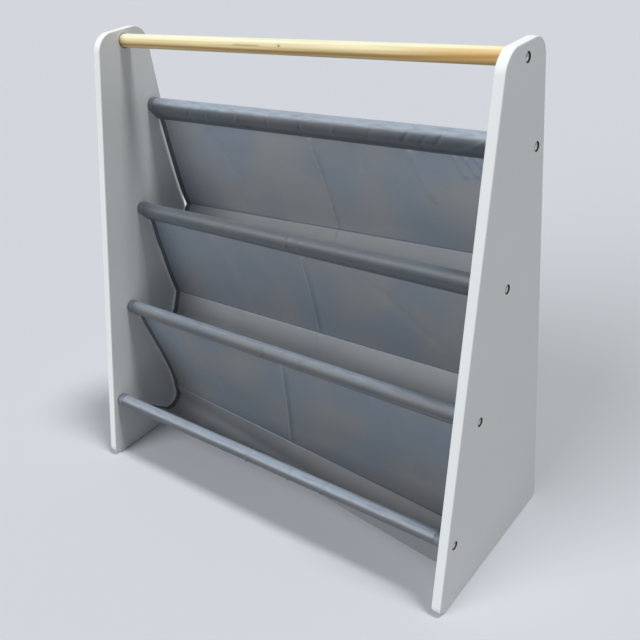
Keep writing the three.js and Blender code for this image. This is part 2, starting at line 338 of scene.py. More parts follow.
def pine_finish(colours, name):
    """Bare pine, turned along the grain: pale above, partly its early wood and partly a painted
    highlight, and a long band of late wood that bows up towards the right end. A small knot and a
    short dark streak stand on the upper front."""
    finish = Finish(name)
    place = finish.place()
    x, y, z = finish.parts(place)
    rise = (z - RAIL_AXIS.y) * (1 / RAIL_RADIUS)
    late = opaque(colours.pine_dark)

    wander = finish.noise(finish.stretched(place, (7.0, 30.0, 30.0)), 1.0) - 0.5
    from_turn = finish.math("MAXIMUM", x - GRAIN_TURN, 0.0)
    bowed = from_turn * from_turn * GRAIN_BOW
    grain = rise - bowed + 0.24 * wander + 0.06
    stops = [(at, wood_tone(colours, share)) for at, share in GRAIN_STOPS]
    colour = finish.ramp(grain, *GRAIN_RANGE, stops)

    fibres = finish.noise(finish.stretched(place, (6.0, 420.0, 420.0)), 1.0, 3.0)
    colour = finish.mixed(finish.smooth(fibres, 0.35, 0.7) * 0.27, colour, late)
    toasted = finish.smooth(x, *TOASTED_X) * (1 - finish.smooth(rise, *TOASTED_RISE)) * 0.62
    colour = finish.mixed(toasted, colour, opaque(colours.pine_warm))

    along = finish.size(x - STREAK_MIDDLE)
    streak = 1 - finish.smooth(along, 0.6 * STREAK_REACH, STREAK_REACH)
    streak = streak * (1 - finish.smooth(finish.size(rise - STREAK_RISE), 0.02, 0.13))
    streak = streak * (1 - finish.smooth(y - RAIL_AXIS.x, 0.0, MM))
    colour = finish.mixed(streak * 0.7, colour, late)

    oval = finish.stretched(finish.vector_math("SUBTRACT", place, KNOT), KNOT_OVAL)
    reach = finish.vector_math("LENGTH", oval, output=1)
    colour = finish.mixed((1 - finish.smooth(reach, 0.6 * MM, 2.6 * MM)) * 0.5, colour, late)
    core = 1 - finish.smooth(reach, 0.4 * MM, 0.95 * MM)
    colour = finish.mixed(core, colour, opaque(colours.knot))

    pores = finish.noise(finish.stretched(place, (40.0, 1800.0, 1800.0)), 1.0)
    return finish.surface(
        base_color=colour,
        roughness=0.5 + 0.15 * fibres,
        normal=finish.bump(pores, 0.08 * MM),
    )


def cloth_finish(colours, name, shade=1.0, warm=0.0, thin=1.0, satin=0.5, bands=(), worn_top=None):
    """Plain woven polyester, whose weave follows the cloth's own length and width. shade is how
    pale it is, warm how much of it is in the paler and warmer colour, and satin its gloss. The
    topmost pocket's cloth lets light through, and thin is how much paler that is
    painted above a height, as painted light. Each band runs along an edge: how far out it starts
    and ends, and its shade. A sleeve has a painted highlight along its top and painted shade
    towards its seam: worn_top gives the highlight's shade, where that starts and ends
    to fade down the front, and how far off the seam is. Other cloth has a painted highlight, a
    pale line, along its first edge, which is a crease or hidden in a seam."""
    finish = Finish(name)
    weave = finish.node("ShaderNodeUVMap", {"uv_map": "Weave"})
    u, v, _ = finish.parts(weave)
    turns = 2 * math.pi / THREAD_PITCH
    threads = finish.math("SINE", u * turns) * finish.math("SINE", v * turns)
    slub = finish.noise(finish.stretched(weave, (60.0, 900.0, 1.0)), 1.0)

    place = finish.place()
    drift = finish.smooth(finish.noise(place, 9.0, 1.5), 0.35, 0.65) + warm
    # Painted light: above these heights the cloth turns to its lit shade, for light through thin
    # cloth
    lit = finish.smooth(finish.parts(place)[2], *PAINTED_LIGHT_HEIGHTS)
    tone, lit_tone = (
        finish.mixed(drift, opaque(colours.cloth, share), opaque(colours.cloth_pale_patches_and_light, share))
        for share in (shade, shade * thin))
    tone = finish.mixed(lit, tone, lit_tone)

    # A sleeve: a streaked painted highlight along its top, and painted shade towards its seam
    if worn_top:
        top_shade, fade_start, fade_end, seam = worn_top
        streaks = finish.noise(finish.stretched(weave, (38.0, 320.0, 1.0)), 1.0, 4.0)
        worn = (1 - finish.smooth(v, *TOP_HIGHLIGHT_REAR)) * finish.smooth(v, -fade_end, -fade_start)
        worn = worn * (0.05 + 1.8 * streaks)
        tone = finish.mixed(worn, tone, opaque(colours.cloth, top_shade))
        dark_start, dark_end = SEAM_SHADE_REACH
        seam_shade_mask = finish.smooth(finish.size(v), seam - dark_start, seam - dark_end)
        tone = finish.mixed(seam_shade_mask, tone, opaque(colours.cloth, SEAM_SHADE))
    # Other cloth: a painted highlight, a pale line along its first edge
    else:
        crease_highlight = 1 - finish.smooth(finish.size(v), *CREASE_HIGHLIGHT_EDGE)
        tone = finish.mixed(crease_highlight * 0.7, tone, opaque(colours.cloth, 1.8 * shade))
    for start, end, band_shade in bands:
        out = finish.size(u)
        band = finish.smooth(out, start, start + BAND_FADE)
        band = band * (1 - finish.smooth(out, end, end + BAND_FADE))
        tone = finish.mixed(band, tone, opaque(colours.cloth, band_shade))

    gaps = 0.06 * threads + 0.2 * (slub - 0.5)
    return finish.surface(
        base_color=finish.mixed(gaps, tone, opaque((0.0, 0.0, 0.0))),
        roughness=0.46 - 0.1 * satin + 0.1 * slub,
        sheen_weight=0.2,
        sheen_roughness=0.4,
        sheen_tint=(0.85, 0.91, 1.0, 1.0),
        specular_ior_level=satin,
        normal=finish.bump(threads + slub, 0.06 * MM, 0.5),
    )


def speckled_finish(name, colour, spread, scale, detail, roughness, depth, **settings):
    """A fine mottle in one colour, rougher and higher where it is paler."""
    finish = Finish(name)
    specks = finish.noise(finish.place(), scale, detail)
    return finish.surface(
        base_color=finish.mottled(specks, colour, spread),
        roughness=roughness + 0.2 * specks,
        normal=finish.bump(specks, depth),
        **settings,
    )


def board_and_hole_shade_finish(colours, name):
    """The bare board that a drilled hole lays open, painted far darker as the painted shade in the
    hole.
    """
    return speckled_finish(name, colours.board, 0.25, 900.0, 3.0, 0.75, 0.2 * MM)


def thread_finish(colours, name):
    """Twisted sewing thread."""
    return speckled_finish(name, colours.thread, 0.3, 2600.0, 2.0, 0.5, 0.1 * MM)


def steel_finish(colours, name):
    """Zinc plated steel, a little dull and uneven."""
    return speckled_finish(name, colours.steel, 0.15, 500.0, 3.0, 0.3, 0.03 * MM, metallic=1.0)


def floor_finish(colours, name):
    """A plain pale floor, which throws less light back at the bookshelf than it shows."""
    finish = Finish(name)
    seen = finish.node("ShaderNodeLightPath")
    colour = finish.mixed(seen, opaque(colours.floor, FLOOR_BOUNCE), opaque(colours.floor))
    return finish.surface(base_color=colour, roughness=0.9, specular_ior_level=0.1)


def studio_light():
    """Even light from all round, which the camera and metal see as a pale room."""
    finish = Finish("soft_light", bpy.data.worlds)
    camera, glossy = (finish.node("ShaderNodeLightPath", output=output) for output in (0, 3))
    seen = finish.math("MAXIMUM", camera, glossy)
    strength = WORLD_STRENGTH + seen * (WORLD_SHOWN - WORLD_STRENGTH)
    sockets = {"Color": WORLD_COLOUR, "Strength": strength}
    light = finish.node("ShaderNodeBackground", None, sockets)
    return finish.ended(light, "ShaderNodeOutputWorld")


def finish_named(name, make, **settings):
    """The finish of that name, made once."""
    known = bpy.data.materials.get(name)
    return known or make(bpy.context.scene.shelf_colours, name, **settings)


# Mesh building


def mesh_of(name, bm):
    """Turns a bmesh into a mesh and frees it."""
    mesh = bpy.data.meshes.new(name)
    bm.to_mesh(mesh)
    bm.free()
    return mesh


def put(name, data):
    """Puts new data into the scene as an object."""
    thing = bpy.data.objects.new(name, data)
    bpy.context.scene.collection.objects.link(thing)
    return thing


def add_piece(name, bm, material):
    """Makes a finished object of a bmesh, on the bookshelf's one body."""
    piece = put(name, mesh_of(name, bm))
    piece.data.materials.append(material)
    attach(piece, BODY)
    return piece


def add_rod(bm, start, end, radius, axis, sides):
    """Adds a solid rod from one x to another, on a dowel's axis."""
    middle = Matrix.Translation(((start + end) / 2, axis.x, axis.y))
    bmesh.ops.create_cone(
        bm, cap_ends=True, segments=sides, radius1=radius, radius2=radius,
        depth=abs(end - start), matrix=middle @ Matrix.Rotation(math.pi / 2, 4, "Y"))


def round_edges(bm, edges, offset, steps):
    bmesh.ops.bevel(bm, geom=edges, affect="EDGES", offset=offset, segments=steps,
                    profile=0.5, material=-1)


def smooth_quads(bm):
    """Shades smooth the faces of four sides, and flat the caps."""
    for face in bm.faces:
        face.smooth = len(face.verts) == 4


def corner_offset(radius, corner, before, after):
    """How far a rounded corner's arc starts from the sharp corner."""
    half = (before - corner).angle(after - corner) / 2
    return radius / math.tan(half)


# Side panels

# The radii of a panel's corners, from the front foot round
CORNER_RADII = (12 * MM, 7 * MM, 22 * MM, 27 * MM)
CORNER_STEPS = 16
EASING_STEPS = 4
SOCKET_DEPTH = 5 * MM
SOCKET_GAP = 0.3 * MM
RAIL_SOCKET_GAP = 0.8 * MM
RECESS_RADIUS = 5.6 * MM
RECESS_DEPTH = 3.3 * MM
HOLE_SIDES = 48
CUT_OVERRUN = 2 * MM
LARGE_AREA = 1.0e-4
NEAR = MM / 100


def panel_outline(sizes):
    """The sharp corners of a side panel in its own plane, from the front foot round."""
    front = PANEL_HIGH.y - sizes.panel_depth
    return [
        Vector((0, front, PANEL_LOW.z)),
        Vector((0, PANEL_HIGH.y, PANEL_LOW.z)),
        Vector((0, PANEL_HIGH.y, PANEL_HIGH.z)),
        Vector((0, PANEL_HIGH.y - sizes.panel_top_depth, PANEL_HIGH.z)),
    ]


def panel_board(sizes, side):
    """A side panel's board with rounded corners and eased edges."""
    bm = bmesh.new()
    corners = panel_outline(sizes)
    inner = Vector((side * PANEL_INNER_X, 0, 0))
    face = bm.faces.new([bm.verts.new(corner + inner) for corner in corners])
    grown = bmesh.ops.extrude_face_region(bm, geom=[face])["geom"]
    moved = [item for item in grown if isinstance(item, bmesh.types.BMVert)]
    thickness = side * (PANEL_OUTER_X - PANEL_INNER_X)
    bmesh.ops.translate(bm, vec=(thickness, 0, 0), verts=moved)
    for i, (corner, radius) in enumerate(zip(corners, CORNER_RADII)):
        edges = [edge for edge in bm.edges
                 if all((vert.co.yz - corner.yz).length < NEAR for vert in edge.verts)]
        offset = corner_offset(radius, corner, corners[i - 1], corners[(i + 1) % len(corners)])
        round_edges(bm, edges, offset, CORNER_STEPS)
    rims = [edge for edge in bm.edges
            if abs(edge.verts[0].co.x - edge.verts[1].co.x) < NEAR]
    round_edges(bm, rims, sizes.panel_easing, EASING_STEPS)
    bmesh.ops.recalc_face_normals(bm, faces=bm.faces)
    return bm


def panel_cutters(side):
    """The solids that open the sockets and screw recesses of a side panel."""
    bm = bmesh.new()
    inner = side * PANEL_INNER_X
    outer = side * PANEL_OUTER_X
    for node, axis in DOWEL_AXES.items():
        socket = radius_of(node) + (RAIL_SOCKET_GAP if node == "top_rail" else SOCKET_GAP)
        for start, end, radius in (
                (inner - side * CUT_OVERRUN, inner + side * SOCKET_DEPTH, socket),
                (outer - side * RECESS_DEPTH, outer + side * CUT_OVERRUN, RECESS_RADIUS)):
            add_rod(bm, start, end, radius, axis, HOLE_SIDES)
    return bm


def cut(piece, cutter_bm):
    """Cuts the solids out of a piece for good."""
    cutter = put("cutter", mesh_of("cutter", cutter_bm))
    modifier = piece.modifiers.new("Cut", "BOOLEAN")
    modifier.operation = "DIFFERENCE"
    modifier.solver = "EXACT"
    modifier.object = cutter
    bpy.context.view_layer.update()
    evaluated = piece.evaluated_get(bpy.context.evaluated_depsgraph_get())
    cut_mesh = bpy.data.meshes.new_from_object(evaluated)
    piece.modifiers.remove(modifier)
    spent = (piece.data, cutter.data)
    piece.data = cut_mesh
    cut_mesh.name = piece.name
    bpy.data.objects.remove(cutter)
    for mesh in spent:
        bpy.data.meshes.remove(mesh)


def is_inside_hole(face):
    """Whether a face of a panel lies in one of its drilled holes."""
    middle = face.calc_center_median()
    depth = min(PANEL_OUTER_X - abs(middle.x), abs(middle.x) - PANEL_INNER_X)
    nearest = min((middle.yz - axis).length for axis in DOWEL_AXES.values())
    return depth > 0.2 * MM and nearest < RAIL_RADIUS + MM


class ShelfPanels(bpy.types.Operator):
    """Makes the two side panels"""

    bl_idname = "bookshelf.panels"
    bl_label = "Side panels"

    def execute(self, context):
        paint = finish_named("satin_paint", paint_finish)
        # The holes' walls: bare board painted dark as painted shade
        board = finish_named("raw_board", board_and_hole_shade_finish)
        for side_name, side in SIDES.items():
            bm = panel_board(context.scene.shelf_sizes, side)
            piece = add_piece(f"panel_{side_name}", bm, paint)
            cut(piece, panel_cutters(side))
            piece.data.materials.append(board)
            bm = bmesh.new()
            bm.from_mesh(piece.data)
            for face in bm.faces:
                # The broad faces and the caps of the holes stay flat
                face.smooth = face.calc_area() < LARGE_AREA and abs(face.normal.x) < 0.999
                face.material_index = int(is_inside_hole(face))
            bm.to_mesh(piece.data)
            bm.free()
            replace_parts(piece, f"side_panel_{side_name}")
        return {"FINISHED"}


# Dowels

RAIL_SIDES = 64
RAIL_EASING = 1.2 * MM
RAIL_EASING_STEPS = 3


class ShelfDowels(bpy.types.Operator):
    """Makes the bare rail and gives the rods in the sleeves their wood"""

    bl_idname = "bookshelf.dowels"
    bl_label = "Rail and rods"

    def execute(self, context):
        pine = finish_named("bare_pine", pine_finish)
        low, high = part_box("top_rail")
        bm = bmesh.new()
        add_rod(bm, low[0], high[0], RAIL_RADIUS, RAIL_AXIS, RAIL_SIDES)
        rims = [edge for edge in bm.edges
                if len({len(face.verts) for face in edge.link_faces}) > 1]
        round_edges(bm, rims, RAIL_EASING, RAIL_EASING_STEPS)
        smooth_quads(bm)
        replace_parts(add_piece("rail", bm, pine), "top_rail")
        for name in ROD_NAMES:
            bpy.data.objects[f"sling_rod_{name}"].material_slots[0].material = pine
        return {"FINISHED"}


# Screws

HEAD_RADIUS = 4.7 * MM
HEAD_THICKNESS = 2.1 * MM
# The rings on the head from its edge in: how far in each lies from the last, and how far up
HEAD_RINGS = ((0.3 * MM, 0.35 * MM), (0.5 * MM, 0.12 * MM), (1.6 * MM, 0.0))
KEY_SIZE = 4 * MM
KEY_DEPTH = 1.5 * MM
KEY_DRAFT = 0.08 * MM
SHANK_RADIUS = 2.5 * MM
SCREW_LENGTH = 38 * MM
SCREW_SIDES = 48
POINT_LENGTH = 6 * MM
POINT_RADIUS = 0.2 * MM
# How far round each screw has come to rest, in radians for each metre of its height
SPIN_PER_METRE = 40


def screw_mesh(seat_x, side, axis):
    """A screw that stands on its recess's floor and points inwards, with a key's six sides
    pressed into its head."""
    bm = bmesh.new()
    ring = bmesh.ops.create_circle(
        bm, cap_ends=True, radius=HEAD_RADIUS, segments=SCREW_SIDES)["verts"]
    face = ring[0].link_faces[0]
    for inwards, rise in HEAD_RINGS:
        bmesh.ops.inset_individual(bm, faces=[face], thickness=inwards)
        bmesh.ops.translate(bm, verts=face.verts, vec=(0, 0, rise))
    sixth = math.pi / 3
    for vert in face.verts:
        angle = math.atan2(vert.co.y, vert.co.x)
        reach = KEY_SIZE / 2 / math.cos((angle % sixth) - sixth / 2)
        vert.co.xy = Vector((math.cos(angle), math.sin(angle))) * reach
    bmesh.ops.inset_individual(bm, faces=[face], thickness=KEY_DRAFT)
    bmesh.ops.translate(bm, verts=face.verts, vec=(0, 0, -KEY_DEPTH))
    edge_height = HEAD_THICKNESS - sum(rise for _, rise in HEAD_RINGS)
    bmesh.ops.translate(bm, verts=bm.verts, vec=(0, 0, edge_height))
    lower = [edge for edge in bm.edges if edge.is_boundary]
    for radius, height in (
            (HEAD_RADIUS, 0.0), (SHANK_RADIUS, 0.0),
            (SHANK_RADIUS, POINT_LENGTH - SCREW_LENGTH), (POINT_RADIUS, -SCREW_LENGTH)):
        grown = bmesh.ops.extrude_edge_only(bm, edges=lower)["geom"]
        lower = [item for item in grown if isinstance(item, bmesh.types.BMEdge)]
        for vert in (item for item in grown if isinstance(item, bmesh.types.BMVert)):
            angle = math.atan2(vert.co.y, vert.co.x)
            vert.co = (radius * math.cos(angle), radius * math.sin(angle), height)
    bmesh.ops.contextual_create(bm, geom=lower)
    bmesh.ops.remove_doubles(bm, verts=bm.verts, dist=MM / 1000)
    bmesh.ops.recalc_face_normals(bm, faces=bm.faces)
    smooth_quads(bm)
    seat = Matrix.Translation((seat_x, axis.x, axis.y))
    turn = Matrix.Rotation(side * math.pi / 2, 4, "Y")
    spin = Matrix.Rotation(axis.y * SPIN_PER_METRE, 4, "Z")
    bmesh.ops.transform(bm, verts=bm.verts, matrix=seat @ turn @ spin)
    return bm


class ShelfScrews(bpy.types.Operator):
    """Makes the five screws of each side panel"""

    bl_idname = "bookshelf.screws"
    bl_label = "Screws"

    def execute(self, context):
        steel = finish_named("plated_steel", steel_finish)
        for side_name, side in SIDES.items():
            for node, axis in DOWEL_AXES.items():
                bm = screw_mesh(side * (PANEL_OUTER_X - RECESS_DEPTH), side, axis)
                piece = add_piece(f"screw_{side_name}_{node}_head", bm, steel)
                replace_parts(piece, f"screw_{side_name}_{node}")
        return {"FINISHED"}


# Cloth surfaces. A place on a cloth is given by x and by the run down or round the cloth from
# its seam. Each surface answers with the point there and its outward normal.

SLEEVE_SIDE_GAP = 0.6 * MM
POCKET_SIDE_GAP = 2.5 * MM
SEAM_TUCK = 1.5 * MM
FLAP_HALF = 0.5 * MM
FLAP_STEPS = 12
ROUND_STEPS = 12
POCKET_STEPS = 24
SLEEVE_SETTLES = 5 * MM
POCKET_SETTLES = 4 * MM
SLEEVE_HEM_RISE = (10.8 * MM, 9.6 * MM)
SLEEVE_END = PANEL_INNER_X - SLEEVE_SIDE_GAP
POCKET_EDGE = PANEL_INNER_X - POCKET_SIDE_GAP
# Each sleeve from the bottom up: its radius, how far its seam hangs from the rod's axis, and how
# far that leans to the rear at the left and at the right end, in degrees
SLEEVE_SHAPES = (
    (8.5 * MM, 13.5 * MM, 48, 4),
    (8.8 * MM, 20.0 * MM, 20, 9),
    (8.8 * MM, 22.3 * MM, 20, 11),
    (9.7 * MM, 22.3 * MM, 12, 12),
)
# The painted highlight along each sleeve's top: its shade, and where that starts and ends to
# fade down its front. Down its rear it fades at the same place on each. Towards the seam the
# cloth turns to a painted shade, between two distances from it.
SLEEVE_TOP_HIGHLIGHTS = (
    (1.40, 6.0 * MM, 9.5 * MM),
    (1.25, 2.0 * MM, 8.5 * MM),
    (0.75, 0.0 * MM, 6.5 * MM),
    (1.70, 8.0 * MM, 13.5 * MM),
)
TOP_HIGHLIGHT_REAR = (8 * MM, 13 * MM)
SEAM_SHADE = 0.24
SEAM_SHADE_REACH = (12 * MM, 5 * MM)
# How far from a cloth's first edge its painted highlight starts and ends to fade
CREASE_HIGHLIGHT_EDGE = (0.5 * MM, 1.5 * MM)
BAND_FADE = 0.4 * MM
THREAD_PITCH = 0.55 * MM
# The pockets' cloth takes its painted light above these heights, for light through thin cloth
PAINTED_LIGHT_HEIGHTS = (ROD_AXES[2].y - 32 * MM, ROD_AXES[2].y - 12 * MM)


def mix(first, second, share):
    return first + (second - first) * share


def clamp(value, low=0.0, high=1.0):
    return max(low, min(high, value))


def ease(value, low, high):
    """0 below low, 1 above high and smooth between."""
    share = clamp((value - low) / (high - low))
    return share * share * (3 - 2 * share)


def off_ends(run, length, reach):
    """0 at both ends of a run, and 1 from a reach off them."""
    return ease(run, 0, reach) * (1 - ease(run, length - reach, length))


def ripple(x, y, seed):
    """Smooth noise from -1 to 1."""
    return noise.noise(Vector((x, y, seed)))


def crest(distance, width):
    """A soft fold: 1 on its line, 0 from its width on."""
    return max(0.0, 1 - abs(distance) / width) ** 2


def fold_height(x, run, folds):
    """The height of the soft folds and pressed creases at a place. Each fold is a line from one
    place to another with a height, and a width on either side of the line."""
    height = 0.0
    for x0, run0, x1, run1, tall, left, right in folds:
        along = Vector((x1 - x0, run1 - run0))
        length = along.length
        along /= length
        fade = 0.15 * length
        offset = Vector((x - x0, run - run0))
        reach = offset.dot(along)
        aside = offset.x * along.y - offset.y * along.x
        shown = ease(reach, -fade, fade) * (1 - ease(reach, length - fade, length + fade))
        height += tall * shown * crest(aside, left if aside < 0 else right)
    return height


class Line:
    """A line of points in a plane across X, measured along its length."""

    def __init__(self, points):
        self.points = points
        self.runs = [0.0]
        for before, after in zip(points, points[1:]):
            self.runs.append(self.runs[-1] + (after - before).length)
        self.length = self.runs[-1]

    def at(self, run):
        """The point and the outward normal at a run."""
        run = clamp(run, 0.0, self.length)
        i = 1
        while i < len(self.runs) - 1 and self.runs[i] < run:
            i += 1
        share = (run - self.runs[i - 1]) / (self.runs[i] - self.runs[i - 1])
        tangent = (self.points[i] - self.points[i - 1]).normalized()
        if i < len(self.runs) - 1 and share > 0.5:
            after = (self.points[i + 1] - self.points[i]).normalized()
            tangent = tangent.lerp(after, share - 0.5).normalized()
        elif i > 1 and share < 0.5:
            before = (self.points[i - 1] - self.points[i - 2]).normalized()
            tangent = tangent.lerp(before, 0.5 - share).normalized()
        return self.points[i - 1].lerp(self.points[i], share), Vector((-tangent.y, tangent.x))


def placed(x, point, normal, height):
    """The point in space that stands a height off a cloth's middle, and the normal there."""
    at = point + normal * height
    return Vector((x, at.x, at.y)), Vector((0, normal.x, normal.y))


def seam_lean(index, x):
    """How far a sleeve's seam leans to the rear of its rod at x."""
    left, right = SLEEVE_SHAPES[index][2:]
    return math.radians(mix(left, right, (x + SLEEVE_END) / (2 * SLEEVE_END)))


def seam_place(index, x):
    """Where a pocket's cloth is caught in a sleeve's seam."""
    lean = seam_lean(index, x)
    drop = SLEEVE_SHAPES[index][1] - SEAM_TUCK
    return ROD_AXES[index] + Vector((math.sin(lean), -math.cos(lean))) * drop


class Sleeve:
    """A sleeve round a rod: up its front, over the top and down its back, from seam to seam."""

    def __init__(self, index, folds):
        self.index = index
        self.axis = ROD_AXES[index]
        self.folds = folds

    @cache
    def line(self, x):
        """From the seam straight up to the rod, round it, and straight down to the seam."""
        radius, drop, _, _ = SLEEVE_SHAPES[self.index]
        flap = Vector((-FLAP_HALF, FLAP_HALF - drop))
        below = math.atan2(FLAP_HALF, drop - FLAP_HALF) + math.acos(radius / flap.length)
        first = math.pi / 2 - below
        leave = Vector((-math.cos(first), -math.sin(first))) * radius
        points = [Vector((0, -drop))]
        points += [flap.lerp(leave, i / FLAP_STEPS) for i in range(FLAP_STEPS + 1)]
        for i in range(1, ROUND_STEPS + 1):
            angle = first - (first + math.pi / 2) * i / ROUND_STEPS
            points.append(Vector((-math.cos(angle), -math.sin(angle))) * radius)
        points += [Vector((-point.x, point.y)) for point in reversed(points[:-1])]
        turn = Matrix.Rotation(seam_lean(self.index, x), 2)
        return Line([turn @ point + self.axis for point in points])

    def top_run(self, x, length):
        """The run at the very top of the sleeve, which the lean shifts off its middle."""
        return length / 2 + seam_lean(self.index, x) * SLEEVE_SHAPES[self.index][0]

    def height(self, x, run, length):
        """How far the cloth stands off its even shape: slack, puckers, end hems and folds."""
        seed = 3.7 * self.index
        share = run / length
        low = 1 - math.sin(math.pi * share) ** 2
        slack = 0.25 + 0.35 * ripple(x * 9, share * 2.5, seed)
        slack += 0.18 * ripple(x * 42, share * 5, seed + 9)
        pucker = 0.3 * ripple(x * 160, share * 3, seed + 5) * low * low
        hem_start, hem_end = SLEEVE_HEM_RISE
        hem = 0.45 * ease(abs(x), SLEEVE_END - hem_start, SLEEVE_END - hem_end)
        return (slack + pucker + hem) * MM + fold_height(x, run, self.folds)

    def at(self, x, run, lift=0.0):
        """The point and the normal at a place, a lift off the cloth's middle."""
        line = self.line(x)
        point, normal = line.at(run)
        settled = off_ends(run, line.length, SLEEVE_SETTLES)
        return placed(x, point, normal, self.height(x, run, line.length) * settled + lift)


class Pocket:
    """A pocket's cloth: down its back to the crease, then along the bottom and up the front."""

    def __init__(self, index, back_folds, front_folds):
        self.index = index
        self.upper_rod = len(ROD_AXES) - 1 - index
        self.lower_rod = self.upper_rod - 1
        self.lower = ROD_AXES[self.lower_rod]
        self.folds = {"back": back_folds, "front": front_folds}

    def shape(self, x):
        """The seam above, the pull on the back, the crease, the belly and its radius at x."""
        share = (x + POCKET_EDGE) / (2 * POCKET_EDGE)
        left, right = CREASE_SHARES[self.index]
        back, drop = (mix(a, b, share) * ROD_PITCH for a, b in zip(left, right))
        crease = self.lower + Vector((back, -drop))
        left, right = BELLY_SHARES[self.index]
        back, drop, radius = (mix(a, b, share) * ROD_PITCH for a, b in zip(left, right))
        belly = self.lower + Vector((back, -drop))
        seam = seam_place(self.upper_rod, x)
        down, hem, middle = PULL_SHARES[self.index]
        pulled = seam.lerp(crease, down)
        pulled.x += mix(middle, hem, abs(2 * share - 1)) * ROD_PITCH
        return seam, pulled, crease, belly, radius

    def back_line(self, x):
        """From the seam above down to the crease, bowed by the pull."""
        seam, pulled, crease, _, _ = self.shape(x)
        points = []
        for i in range(POCKET_STEPS + 1):
            t = i / POCKET_STEPS
            points.append(seam * (1 - t) ** 2 + pulled * (2 * t * (1 - t)) + crease * t * t)
        return Line(points)

    def front_line(self, x):
        """From the crease straight to the belly, round it, and straight up to the seam."""
        _, _, crease, belly, radius = self.shape(x)
        seam = seam_place(self.lower_rod, x)
        to_crease = (crease - belly).normalized()
        to_seam = (seam - belly).normalized()
        half = to_crease.angle(to_seam) / 2
        centre = belly + (to_crease + to_seam).normalized() * (radius / math.sin(half))
        start = belly + to_crease * (radius / math.tan(half)) - centre
        first = math.atan2(start.y, start.x)
        turn = math.pi - 2 * half
        points = [crease]
        for i in range(POCKET_STEPS + 1):
            angle = first - turn * i / POCKET_STEPS
            points.append(centre + Vector((math.cos(angle), math.sin(angle))) * radius)
        points.append(seam)
        return Line(points)

    @cache
    def line(self, part, x):
        return self.back_line(x) if part == "back" else self.front_line(x)

    def height(self, part, x, run, length):
        """How far the cloth strays outwards from its even shape."""
        seed = 11.3 * self.index + (0 if part == "back" else 5)
        loose = off_ends(run, length, 25 * MM)
        sway = 1.6 * ripple(x * 5, run * 6, seed) * loose
        small = 0.35 * ripple(x * 22 + run * 18, run * 9 - x * 4, seed + 2) * loose
        seam_run = run if part == "back" else length - run
        pucker = 0.28 * ripple(x * 120, run * 12, seed + 4) * math.exp(-seam_run / (14 * MM))
        return (sway + small + pucker) * MM + fold_height(x, run, self.folds[part])

    def at(self, part, x, run, lift=0.0):
        line = self.line(part, x)
        point, normal = line.at(run)
        settled = off_ends(run, line.length, POCKET_SETTLES)
        return placed(x, point, normal, self.height(part, x, run, line.length) * settled + lift)


# Folds, in millimetres: x and run of the start, x and run of the end, height, and width to
# either side
SLEEVE_FOLDS = {
    "top": (
        (142, 18, 158, 36, -1.6, 1.6, 6),
        (186, 18, 202, 36, -1.6, 1.6, 6),
        (164, 14, 182, 34, -0.9, 1.6, 6),
        (212, 10, 252, 30, 1, 2, 6),
        (-12, 16, -2, 40, -1.2, 1.6, 6),
        (-86, 20, -82, 44, 0.8, 2, 5),
        (-150, 16, -146, 40, 0.6, 2, 5),
        (-212, 20, -200, 40, -1.1, 1.6, 6),
        (-176, 18, -160, 42, 1.1, 1.6, 6),
        (-122, 16, -106, 40, 1.2, 1.6, 5),
        (-66, 18, -58, 38, -1, 1.6, 5),
        (40, 16, 54, 40, 1.1, 1.6, 6),
        (94, 18, 106, 38, -1.1, 1.6, 5),
    ),
    "upper": (
        (-10, 14, 4, 38, 1.5, 1.6, 6),
        (14, 14, 22, 34, 1, 1.6, 6),
    ),
    "lower": (
        (-24, 14, -10, 38, 1.6, 1.6, 6),
        (44, 14, 54, 34, 1, 1.6, 6),
    ),
    "bottom": (
        (-285, 37.5, 285, 30.5, 0.8, 7, 1.6),
        (-22, 12, -8, 36, 1.6, 1.6, 5),
        (55, 12, 66, 34, 1.3, 1.6, 5),
        (110, 12, 124, 36, 1.5, 1.6, 5),
    ),
}
BACK_FOLDS = (
    (
        (-6, 2, 13, 126, -3.2, 2.6, 9),
        (59, 4, 66, 40, 1.2, 6, 12),
        (143, 0, 169, 62, -2.6, 6, 14),
        (204, 2, 218, 28, -2.2, 2.5, 7),
        (218, 2, 233, 24, -2.4, 2.5, 6),
        (231, 2, 248, 21, -2.2, 2.5, 6),
        (244, 2, 264, 19, -2, 2.5, 6),
        (-190, 10, -140, 100, 1.4, 22, 22),
    ),
    (
        (9, 8, 6, 130, -3, 2.6, 9),
        (-160, 0, -110, 100, -1.6, 14, 25),
        (120, 20, 200, 90, 1.4, 18, 18),
    ),
    (
        (4, 4, -26, 158, -3, 2.6, 9),
        (-225, 30, -160, 110, 1.6, 12, 18),
        (150, 0, 210, 120, -1.6, 14, 25),
    ),
)
FRONT_FOLDS = (
    ((13, 0, 16, 60, -1.2, 2.2, 9),),
    ((5, 0, 2, 60, -1.2, 2.2, 9),),
    ((-26, 0, -30, 60, -1.2, 2.2, 9),),
)


def in_metres(folds):
    return [[length * MM for length in fold] for fold in folds]


def make_sleeves():
    return [Sleeve(i, in_metres(SLEEVE_FOLDS[name])) for i, name in enumerate(ROD_NAMES)]


def make_pockets():
    return [Pocket(i, in_metres(back), in_metres(front))
            for i, (back, front) in enumerate(zip(BACK_FOLDS, FRONT_FOLDS))]


def drape(columns, rows, place):
    """A grid of cloth. place turns shares across and down into a point and its weave place."""
    bm = bmesh.new()
    bmesh.ops.create_grid(bm, x_segments=columns, y_segments=rows, size=0.5)
    weave = {}
    for vert in bm.verts:
        vert.co, weave[vert.index] = place(clamp(vert.co.x + 0.5), clamp(vert.co.y + 0.5))
    layer = bm.loops.layers.uv.new("Weave")
    for face in bm.faces:
        face.smooth = True
        for loop in face.loops:
            loop[layer].uv = weave[loop.vert.index]
    return bm


